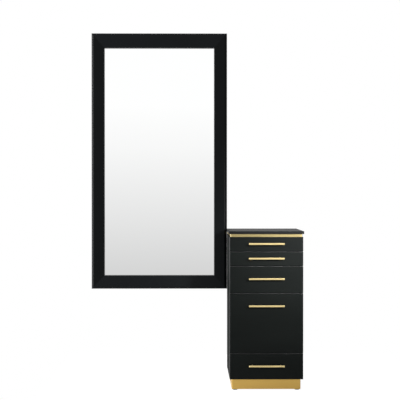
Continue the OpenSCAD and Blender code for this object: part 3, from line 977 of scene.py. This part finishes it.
@dataclass(frozen=True)
class MirrorFrame:
    """Mitred frame of the mirror, with what it holds and what holds it."""

    fall: float = math.radians(3.0)
    thickness: float = 0.030
    outer_radius: float = 0.018
    lip_radius: float = 0.003
    strip: float = 0.016
    channel: float = 0.040
    channel_depth: float = 0.014
    rebate: float = 0.008
    rebate_depth: float = 0.012
    bevel: float = 0.027
    bevel_drop: float = 0.001
    plate_arm: float = 0.081
    plate_width: float = 0.022
    plate_tip: float = 0.004
    clip_gauge: float = 0.0015
    clip_bend: float = 0.0012
    clip_nose: float = 0.009
    head: PanHead = PanHead()
    head_height: float = 0.6
    shank: Outline = ((0, 0), (0.1, 0), (0.5, 0.003), (0.5, 0.011), (0, 0.011))
    bumper: Outline = ((0, 0), (1, 0), (1, 0.3), (0.92, 0.65), (0.7, 0.9), (0.4, 1), (0, 1))

    def build(self) -> None:
        """Builds and dresses every piece of the mirror."""
        sides = (
            ("bottom_rail", RIGHT, UP, RAIL_LACQUER_PAINTED_LIGHTER),
            ("right_stile", UP, -RIGHT, STILE_LACQUER),
            ("top_rail", -RIGHT, -UP, RAIL_LACQUER_PAINTED_LIGHTER),
            ("left_stile", -UP, RIGHT, STILE_LACQUER),
        )
        boxes = [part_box(f"mirror_{name}") for name, *_ in sides]
        widths = [abs((box[1] - box[0]).dot(side[2])) for box, side in zip(boxes, sides)]
        for k, (name, along, inward, finish) in enumerate(sides):
            mitres = (widths[k - 1], widths[(k + 1) % len(sides)])
            self.member(name, along, inward, mitres, finish)
        self.glass()
        self.plates()
        self.clips()
        self.screws()
        self.bumpers()
        dress(HARDBOARD, "mirror_backing_board")
        dress(ALUMINIUM, "mirror_cleat", "wall_cleat")

    def section(self, width: float) -> list[Pair]:
        """Section of the moulding before its edges are rounded.

        Args:
            width: Face width of the member.

        Returns:
            Corners, as the distance from the outer edge and the height over the back.
        """
        arc = self.outer_radius
        crest = self.thickness - arc + arc / math.cos(self.fall) + arc * math.tan(self.fall)
        lip = crest - width * math.tan(self.fall)
        ploughed = self.strip + self.channel
        return [
            (0.0, 0.0),
            (self.strip, 0.0),
            (self.strip, self.channel_depth),
            (ploughed, self.channel_depth),
            (ploughed, 0.0),
            (width - self.rebate, 0.0),
            (width - self.rebate, self.rebate_depth),
            (width, self.rebate_depth),
            (width, lip),
            (0.0, crest),
        ]

    def member(self, name: str, along: Vector, inward: Vector, mitres: Pair, finish: Finish) -> None:
        """One mitred length of the frame.

        Args:
            name: Name of its node, without the mirror_ in front.
            along: Direction of its length.
            inward: Direction from its outer edge to the glass.
            mitres: Length of the mitre at its start and at its end.
            finish: Lacquer; the rails take a copy painted lighter than the stiles', painted light standing in
                for light falling on them.
        """
        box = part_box(f"mirror_{name}")
        size = box[1] - box[0]
        length, width = abs(size.dot(along)), abs(size.dot(inward))
        shape = Shape()
        outline = self.section(width)
        edges = edges_of(shape.sweep(outline, length))
        rounds = (
            (outline[-1], self.outer_radius / math.tan((math.pi / 2 - self.fall) / 2), 14),
            (outline[-2], self.lip_radius / math.tan((math.pi / 2 + self.fall) / 2), 5),
        )
        for corner, reach, steps in rounds:
            here = [
                e
                for e in edges
                if e.is_valid and all((v.co.yz - Vector(corner)).length < TOUCH for v in e.verts)
            ]
            shape.ease(here, reach, steps)
        verts = shape.cut(shape.mesh.verts, Vector(), Vector((-width, mitres[0], 0)))
        verts = shape.cut(verts, RIGHT * length, Vector((width, mitres[1], 0)))
        start = Vector([box[0][k] if along[k] + inward[k] > 0 else box[1][k] for k in range(3)])
        start.y = box[1].y
        shape.settle(verts, stand(start, along, inward, -BACK))
        shape.piece(f"moulded_{name}", f"mirror_{name}", "frame_lacquer", finish)

    def glass(self) -> None:
        """Silvered sheet with a ground bevel."""
        low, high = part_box("mirror_glass")
        drop = BACK * self.bevel_drop
        shape = Shape()
        shape.block(low + drop, high, index=1)
        shape.mesh.normal_update()
        face = min(shape.mesh.faces, key=lambda f: f.normal.y)
        bmesh.ops.inset_region(shape.mesh, faces=[face], thickness=self.bevel)
        bmesh.ops.translate(shape.mesh, vec=-drop, verts=face.verts)
        shape.paint(lambda f: f.normal.y < -0.5, index=0)
        shape.piece("bevelled_glass", "mirror_glass", "mirror_silver", MIRROR_SILVER, GLASS_EDGE, sharp=2.0)

    def plates(self) -> None:
        """Flat steel angles over the mitres."""
        low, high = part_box("frame_corner_plates")
        arm, width = self.plate_arm, self.plate_width
        outline = [(0, 0), (arm, 0), (arm, width), (width, width), (width, arm), (0, arm)]
        shape = Shape()
        for right, up in ((1, 1), (-1, 1), (-1, -1), (1, -1)):
            tips = [
                e
                for e in edges_of(shape.sweep(outline, high.y - low.y))
                if runs_across(e) and not all(abs(c - width) < TOUCH for c in e.verts[0].co.yz)
            ]
            shape.ease(tips, self.plate_tip, segments=3)
            shape.mesh.verts.ensure_lookup_table()
            place = Vector(((low if right > 0 else high).x, low.y, (low if up > 0 else high).z))
            shape.settle(linked(shape.mesh.verts[-1]), stand(place, BACK, RIGHT * right, UP * up))
        shape.outward(shape.mesh.faces)
        shape.piece("stamped_corner_plates", "frame_corner_plates", "hardware_steel", ZINC)

    def clips(self) -> None:
        """Stepped spring clips with rounded bends."""
        centre = middle(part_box("mirror_glass"))
        gauge = self.clip_gauge
        shape = Shape()
        for box in solids("backing_clips"):
            size = box[1] - box[0]
            axis = Axis.X if size.x > size.z else Axis.Z
            inward = axis.way * math.copysign(1.0, (centre - middle(box)).dot(axis.way))
            reach, wide = max(size.x, size.z), min(size.x, size.z)
            depth = size.y - gauge
            step = reach - self.clip_nose + gauge / 2
            path = [(0.0, 0.0, 0.0), (0.0, step, 0.0), (0.0, step, -depth), (0.0, reach, -depth)]
            points, lines = shape.line(path)
            bmesh.ops.translate(shape.mesh, vec=RIGHT * wide, verts=shape.pull(lines))
            bends = [e for e in edges_of(points[1:3]) if runs_across(e)]
            shape.ease(bends, self.clip_bend, segments=3)
            faces = faces_of(linked(points[0]))
            shape.outward(faces)
            shape.thicken(faces, gauge / 2)
            side = inward.cross(BACK)
            start = middle(box, y=box[1].y - gauge / 2) - inward * reach / 2 - side * wide / 2
            shape.settle(linked(points[0]), stand(start, side, inward, BACK))
        shape.outward(shape.mesh.faces)
        shape.piece("backing_spring_clips", "backing_clips", "hardware_steel", ZINC)

    def screws(self) -> None:
        """Heads and shanks of the small wood screws."""
        shape = Shape()
        for box in solids("mirror_screws"):
            radius = (box[1].x - box[0].x) / 2
            height = self.head_height * radius
            self.head.add(shape, middle(box, y=box[1].y - height), BACK, radius, height)
            shape.turn(self.shank, middle(box, y=box[0].y), BACK, sides=10, size=(radius, 1.0))
        shape.piece("wood_screws", "mirror_screws", "hardware_steel", ZINC, PAINTED_RECESS_SHADE)

    def bumpers(self) -> None:
        """Domed rubber bumpers against the wall."""
        shape = Shape()
        for low, high in solids("wall_bumpers"):
            size = ((high.x - low.x) / 2, high.y - low.y)
            shape.turn(self.bumper, middle((low, high), y=low.y), BACK, sides=28, size=size)
        shape.piece("domed_bumpers", "wall_bumpers", "bumper_rubber", BUMPER_RUBBER)


@dataclass(frozen=True)
class Carcass:
    """Body of the pedestal, the worktop over it and the bolts to the mirror."""

    ease: float = 0.0009
    worktop_radius: float = 0.0015
    notch_gap: float = 0.0005
    band_gauge: float = 0.002
    band_bend: float = 0.0035
    band_lip: float = 0.0045
    bolt_radius: float = 0.003
    bolt_tip: Pair = (0.0004, 0.0005)
    bolt_end: float = 0.002
    bolt_head: Outline = ((0, 0), (1, 0), (1, 0.0033), (0.9, 0.0039), (0, 0.0039))
    nut: Outline = ((0, 0), (0.9, 0), (1, 0.0006), (1, 0.0048), (0, 0.0048))

    def build(self) -> None:
        """Builds and dresses the fixed pieces."""
        for side in ("left", "right"):
            self.side(side)
        dress(INNER_BLACK, "back_panel", "bottom_panel", "sub_top", "fixed_shelves", "top_spacer")
        dress(PINE, "carcass_dowels", "wall_batten")
        self.worktop()
        self.band()
        self.bolts()
        dress(ZINC, "link_spacers")

    def side(self, side: str) -> None:
        """Side panel with a banded front edge.

        Args:
            side: left or right.
        """
        node = f"side_panel_{side}"
        shape = Shape()
        shape.block(*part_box(node), self.ease)
        shape.paint(lambda f: f.normal.y < -0.9, index=1)
        # Painted highlight on the eased front edge.
        shape.paint(rounds_front, index=2)
        shape.piece(f"banded_side_{side}", node, "panel_black", PANEL_BLACK, EDGE_BAND, PAINTED_EDGE_HIGHLIGHT)

    def worktop(self) -> None:
        """Slab with rounded edges, notched round the mirror frame."""
        low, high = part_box("worktop")
        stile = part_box("mirror_right_stile")
        notch_x = stile[1].x + self.notch_gap
        notch_y = stile[0].y - self.notch_gap
        front = [(low.x, low.y), (high.x, low.y)]
        back = [(high.x, high.y), (notch_x, high.y), (notch_x, notch_y), (low.x, notch_y)]
        shape = Shape()
        shape.settle(shape.sweep(front + back, high.z - low.z), stand(UP * low.z, UP, RIGHT, BACK))
        plain = [
            e
            for e in shape.mesh.edges
            if not any(abs(v.co.x - notch_x) < TOUCH for v in e.verts)
            and not all(abs(v.co.y - notch_y) < TOUCH for v in e.verts)
        ]
        shape.ease(plain, self.worktop_radius, segments=5)
        shape.piece("rounded_worktop", "worktop", "worktop_stone", STONE)

    def band(self) -> None:
        """Bent metal strip round the front and the ends, turned out at the wall to close the recess."""
        low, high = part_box("gold_band")
        back = high.y - self.band_gauge
        shape = Shape()
        shape.block(low, Vector((high.x, back, high.z)))
        shape.drop(lambda f: abs(f.normal.z) > 0.5 or f.normal.y > 0.5)
        ends = [e for e in shape.mesh.edges if all(v.co.y > back - TOUCH for v in e.verts)]
        for vert in shape.pull(ends):
            vert.co.x += math.copysign(self.band_lip, vert.co.x - middle((low, high)).x)
        shape.fold(self.band_bend, self.band_gauge, segments=5)
        shape.paint(looks_sideways, index=1)
        shape.piece("bent_band", "gold_band", "band_brass", BAND_GOLD_X, BAND_GOLD_Y)

    def bolts(self) -> None:
        """Hexagon bolts with nuts between the body and the stile."""
        shape = Shape()
        for box in solids("link_bolts"):
            low, high = box
            size = ((high.y - low.y) / 2, 1.0)
            length = high.x - low.x - self.bolt_end
            radius, (across, along) = self.bolt_radius, self.bolt_tip
            shank = [(0, 0), (radius - across, 0), (radius, along), (radius, length), (0, length)]
            shape.turn(shank, middle(box, x=low.x), RIGHT, sides=16)
            under_head = middle(box, x=high.x - self.bolt_head[-1][1])
            shape.turn(self.bolt_head, under_head, RIGHT, HEXAGON, size=size)
            shape.turn(self.nut, middle(box, x=low.x + self.bolt_end), RIGHT, HEXAGON, size=size)
        shape.piece("hexagon_bolts", "link_bolts", "hardware_steel", ZINC)


@dataclass(frozen=True)
class Base:
    """Plinth, brackets and glides.

    The rim of a foot is given from its radius outwards, and its crown as a share of the radius.
    """

    gauge: float = 0.003
    bend: float = 0.004
    flange: float = 0.040
    foot_rim: Outline = ((-0.0015, 0), (0, 0.0015), (0, 0.0055), (-0.002, 0.007))
    foot_height: float = 0.008
    foot_crown: float = 0.55
    lock_nut: Outline = (
        (0, 0.008), (0.0085, 0.008), (0.0098, 0.0088), (0.0098, 0.0135), (0.0088, 0.014), (0, 0.014)
    )
    stem_start: float = 0.012
    root: float = 0.0042
    crest: float = 0.005
    pitch: float = 0.0015

    def build(self) -> None:
        """Builds and dresses the pieces under the body."""
        self.plinth()
        self.glides()
        dress(ZINC, "glide_brackets")

    def plinth(self) -> None:
        """Folded skirt with an inner flange."""
        shape = Shape()
        shape.block(*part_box("plinth_skirt"))
        shape.mesh.normal_update()
        under, *_, top = sorted(shape.mesh.faces, key=lambda f: f.normal.z)
        bmesh.ops.inset_region(shape.mesh, faces=[top], thickness=self.flange)
        bmesh.ops.delete(shape.mesh, geom=[top, under], context="FACES")
        shape.outward(shape.mesh.faces)
        shape.fold(self.bend, self.gauge)
        shape.paint(looks_sideways, index=1)
        shape.piece("folded_plinth", "plinth_skirt", "plinth_gold", PLINTH_GOLD_X, PLINTH_GOLD_Y)

    def glides(self) -> None:
        """Glides with a rimmed foot, a lock nut and a threaded stem."""
        shape = Shape()
        for low, high in solids("levelling_glides"):
            base = middle((low, high), z=low.z)
            radius = (high.x - low.x) / 2
            rim = [(radius + out, height) for out, height in self.foot_rim]
            crown = [(radius * self.foot_crown, self.foot_height), (0, self.foot_height)]
            shape.turn([(0, 0), *rim, *crown], base, UP, sides=40)
            shape.turn(self.lock_nut, base, UP, HEXAGON, index=1)
            stem = [(0, self.stem_start)]
            height = self.stem_start
            while height + self.pitch < high.z:
                stem += [(self.root, height), (self.crest, height + self.pitch / 2)]
                height += self.pitch
            stem += [(self.root, high.z), (0, high.z)]
            shape.turn(stem, base, UP, sides=18, index=1)
        shape.piece("screw_glides", "levelling_glides", "glide_black", GLIDE_BLACK, ZINC)


@dataclass(frozen=True)
class Slides:
    """Rolled members of the drawer slides, with screw heads at some shares of their length."""

    gauge: float = 0.0015
    bend: float = 0.0016
    head: PanHead = PanHead()
    head_radius: float = 0.0034
    head_height: float = 0.0005
    head_places: Triple = (0.10, 0.42, 0.86)

    def build(self) -> None:
        """Builds the outer members."""
        self.members("slide_outer_members", "cabinet", "rolled_outer_slides", outward=True)

    def channel(self, shape: Shape, box: Box, facing: Vector) -> None:
        """Adds one rolled channel.

        Args:
            shape: Mesh that gets it.
            box: Its outer box.
            facing: Direction of its open side.
        """
        part = Shape()
        part.block(*box)
        part.drop(lambda f: f.normal.dot(facing) > 0.5 or abs(f.normal.y) > 0.5)
        part.fold(self.bend, self.gauge)
        scratch = part.spend("slide_scratch")
        shape.mesh.from_mesh(scratch)
        bpy.data.meshes.remove(scratch)

    def members(self, node: str, body: str, name: str, outward: bool) -> None:
        """The members of one node, left and right.

        Args:
            node: CAD node that they replace.
            body: Body that they ride on.
            name: Name of the piece.
            outward: True if the webs are towards the side panels.
        """
        centre = middle(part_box("worktop")).x
        shape = Shape()
        for box in solids(node):
            low, high = box
            web_left = (middle(box).x < centre) == outward
            facing = RIGHT if web_left else -RIGHT
            self.channel(shape, box, facing)
            web = low.x + self.gauge if web_left else high.x - self.gauge
            for share in self.head_places:
                seat = middle(box, x=web, y=low.y + (high.y - low.y) * share)
                self.head.add(shape, seat, facing, self.head_radius, self.head_height)
        shape.piece(name, node, "hardware_steel", SLIDE_ZINC, PAINTED_RECESS_SHADE, body=body)


@dataclass(frozen=True)
class Drawer:
    """One drawer: front, box, bottom, handle and its members of the slides."""

    number: int
    ease: float = 0.0011
    wall_ease: float = 0.0008
    bar: float = 0.008
    bar_ease: float = 0.0012
    post_offset: float = 0.08
    post: float = 0.0034
    post_end: float = 0.0038
    rosette: Outline = ((0, 0), (0.0046, 0), (0.0046, 0.0008), (0.0038, 0.0025), (0.0034, 0.005))
    sunk: float = 0.001
    head: PanHead = PanHead(
        18, ((0, 0), (1, 0), (1, 11 / 24), (0.85, 19 / 24), (0.5, 1), (0, 1)), (0.525, 0.1, 0.025)
    )
    head_radius: float = 0.004
    head_height: float = 0.0024
    slides: Slides = Slides()

    @property
    def body(self) -> str:
        """Name of the body, which is also the start of its nodes' names."""
        return f"drawer_{self.number}"

    def build(self) -> None:
        """Builds and dresses the pieces of this drawer."""
        body = self.body
        self.front()
        self.box()
        self.handle()
        dress(BIRCH_X, f"{body}_bottom")
        self.slides.members(f"{body}_slide_inner", body, f"{body}_rolled_inner", outward=False)
        self.slides.members(
            f"{body}_slide_middle", f"{body}_middle", f"{body}_rolled_middle", outward=True
        )

    def front(self) -> None:
        """Laminated front with banded edges, and a painted highlight on its eased edges but for its lower
        edge and the one under the band, which lie in shade.
        """
        node = f"{self.body}_front"
        shape = Shape()
        shape.block(*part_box(node), self.ease)
        shape.paint(lambda f: abs(f.normal.y) < 0.9, index=1)
        # Painted highlight on the eased edges, left off the lower edges and the top edge of the highest
        # front, which lie in shade under the band.
        highlight_top = 0.3 if self.number == 1 else 1.0
        shape.paint(lambda f: rounds_front(f) and -0.3 < f.normal.z < highlight_top, index=2)
        finishes = (FRONT_BLACK, EDGE_BAND, PAINTED_EDGE_HIGHLIGHT)
        shape.piece(f"{self.body}_banded_front", node, "panel_black", *finishes, body=self.body)

    def box(self) -> None:
        """Plywood sides, inner front and back."""
        node = f"{self.body}_box"
        shape = Shape()
        for low, high in solids(node):
            start = len(shape.mesh.faces)
            shape.block(low, high, self.wall_ease)
            shape.mesh.normal_update()
            shape.mesh.faces.ensure_lookup_table()
            thin_x = high.x - low.x < high.y - low.y
            for face in shape.mesh.faces[start:]:
                across = abs(face.normal.x if thin_x else face.normal.y)
                face.material_index = (0 if thin_x else 2) + int(across < 0.9)
        finishes = (BIRCH_Y, PLY_X, BIRCH_X, PLY_Y)
        shape.piece(f"{self.body}_ply_box", node, "drawer_birch", *finishes, body=self.body)

    def handle(self) -> None:
        """Bar on two flared posts, with the screws inside the drawer."""
        node = f"{self.body}_handle"
        low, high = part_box(node)
        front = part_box(f"{self.body}_front")[0].y
        bar_back = low.y + self.bar
        reach = front - bar_back
        centre = middle((low, high))
        shape = Shape()
        shape.block(low, Vector((high.x, bar_back, high.z)), self.bar_ease, segments=3)
        end = reach + self.sunk
        post = [*self.rosette, (self.post, reach - self.sunk), (self.post_end, end), (0, end)]
        for x in (centre.x - self.post_offset, centre.x + self.post_offset):
            shape.turn(post, Vector((x, front, centre.z)), -BACK, sides=28)
            seat = Vector((x, high.y - self.head_height, centre.z))
            self.head.add(shape, seat, BACK, self.head_radius, self.head_height, index=1)
        finishes = (HANDLE_GOLD, ZINC, PAINTED_RECESS_SHADE)
        shape.piece(f"{self.body}_bar_handle", node, "handle_brass", *finishes, body=self.body)


@dataclass(frozen=True)
class Studio:
    """Floor, world, lamps and camera.

    The levels are the brightness that reflections find at each height of their direction, and
    the ranges of the dimness are where it starts and ends to the right, behind and below.
    """

    eye: Triple = (-0.0129, -5.8986, 1.1140)
    turn_right: float = 0.0078
    tip_down: float = 0.0075
    lens: float = 91.48
    ambient: float = 0.44
    dim: Color = (0.25, 0.25, 0.25, 1.0)
    dim_right: Pair = (0.55, 0.9)
    dim_behind: Pair = (0.1, 0.5)
    dim_below: Pair = (0.0, -0.06)
    heights: Pair = (-0.30, 0.10)
    levels: Sequence[Pair] = (
        (-0.30, 0.86),
        (-0.17, 0.66),
        (-0.087, 0.655),
        (-0.030, 0.790),
        (0.044, 0.953),
        (0.085, 1.012),
    )
    floor_middle: Triple = (0.25, 0.0, -0.0002)
    floor_reach: float = 1.1
    floor_greys: Pair = (0.88, 0.9)
    glow: float = 1.24
    glow_share: float = 0.75

    def build(self) -> None:
        """Sets the stage."""
        self.camera()
        self.world()
        self.floor()
        self.lamp("left_softbox", (-3.6, -1.6, 1.4), (0.0, 0.1, 1.1), (1.3, 3.0), 165.0)
        self.lamp("rim_softbox", (-3.5, 0.9, 1.6), (-0.6, 0.2, 1.35), (1.7, 3.2), 105.0)
        self.lamp("gridded_softbox", (1.5, -2.2, 1.5), (0.60, -0.2, 0.79), (0.5, 0.5), 3.4, 27.0)
        bpy.context.scene.view_settings.view_transform = "Standard"

    def camera(self) -> None:
        """Camera at the photograph's viewpoint."""
        data = bpy.data.cameras.new("photographer")
        data.lens = self.lens
        data.clip_end = 100.0
        made = put("photographer", data)
        made.location = self.eye
        made.rotation_euler = (math.pi / 2 - self.tip_down, 0.0, -self.turn_right)
        bpy.context.scene.camera = made

    def world(self) -> None:
        """White to the camera; a soft vertical gradient in reflections; plain light elsewhere."""
        world = bpy.data.worlds.new("studio")
        bpy.context.scene.world = world
        world.use_nodes = True
        tree = Tree(world.node_tree)
        way = tree.node("ShaderNodeTexCoord", out="Generated")
        right, behind, up = (tree.node("ShaderNodeSeparateXYZ", {0: way}, out=k) for k in range(3))
        start, end = self.heights
        stops = [((z - start) / (end - start), (level, level, level, 1.0)) for z, level in self.levels]
        gradient = tree.node("ShaderNodeValToRGB", {"Fac": tree.share(up, start, end)}, stops=stops)
        gradient = tree.blend(tree.share(right, *self.dim_right) * 0.8, gradient, self.dim)
        low_behind = tree.share(behind, *self.dim_behind) * tree.share(up, *self.dim_below)
        gradient = tree.blend(low_behind * 0.95, gradient, self.dim)
        camera, glossy, clear = (
            tree.node("ShaderNodeLightPath", out=f"Is {kind} Ray")
            for kind in ("Camera", "Glossy", "Transmission")
        )
        plain = tree.blend(glossy + clear, tone((self.ambient,) * 3), gradient)
        seen = tree.blend(camera, plain, WHITE)
        light = tree.node("ShaderNodeBackground", {"Color": seen, "Strength": 1.0})
        tree.node("ShaderNodeOutputWorld", {"Surface": light})

    def floor(self) -> None:
        """Pale floor, white to the camera but for a soft shadow."""
        shape = Shape()
        bmesh.ops.create_grid(shape.mesh, x_segments=8, y_segments=8, size=self.floor_reach)
        paint = bpy.data.materials.new("studio_floor")
        paint.use_nodes = True
        tree = Tree(paint.node_tree)
        greys = (tone((grey,) * 3) for grey in self.floor_greys)
        matt = tree.node("ShaderNodeBsdfDiffuse", {"Color": tree.blend(tree.noise(tree.spot(), 4.0), *greys)})
        glow = tree.node("ShaderNodeEmission", {"Color": WHITE, "Strength": self.glow})
        seen = tree.node("ShaderNodeLightPath", out="Is Camera Ray")
        mix = tree.node("ShaderNodeMixShader", {0: seen * self.glow_share, 1: matt, 2: glow})
        tree.node("ShaderNodeOutputMaterial", {"Surface": mix})
        made = put("studio_floor", shape.spend("studio_floor"))
        made.location = self.floor_middle
        made.data.materials.append(paint)

    def lamp(
        self, name: str, place: Triple, aim: Triple, size: Pair, power: float, spread: float = 180.0
    ) -> None:
        """Soft rectangular lamp.

        Args:
            name: Name of the lamp.
            place: Where it hangs.
            aim: Point that it faces.
            size: Width and height.
            power: Power in watts.
            spread: Angle of its light in degrees, less than 180 for a box with a grid in front.
        """
        data = bpy.data.lights.new(name, "AREA")
        data.shape = "RECTANGLE"
        data.size, data.size_y = size
        data.energy = power
        data.spread = math.radians(spread)
        made = put(name, data)
        made.location = place
        made.rotation_mode = "QUATERNION"
        made.rotation_quaternion = (Vector(aim) - Vector(place)).to_track_quat("-Z", "Y")


def main() -> None:
    """Builds the scene."""
    logging.basicConfig(level=logging.INFO, format="%(message)s")
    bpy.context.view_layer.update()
    Studio().build()
    MirrorFrame().build()
    Carcass().build()
    Base().build()
    Slides().build()
    for number in range(1, DRAWERS + 1):
        Drawer(number).build()
    bpy.context.view_layer.update()


if __name__ == "__main__":
    main()
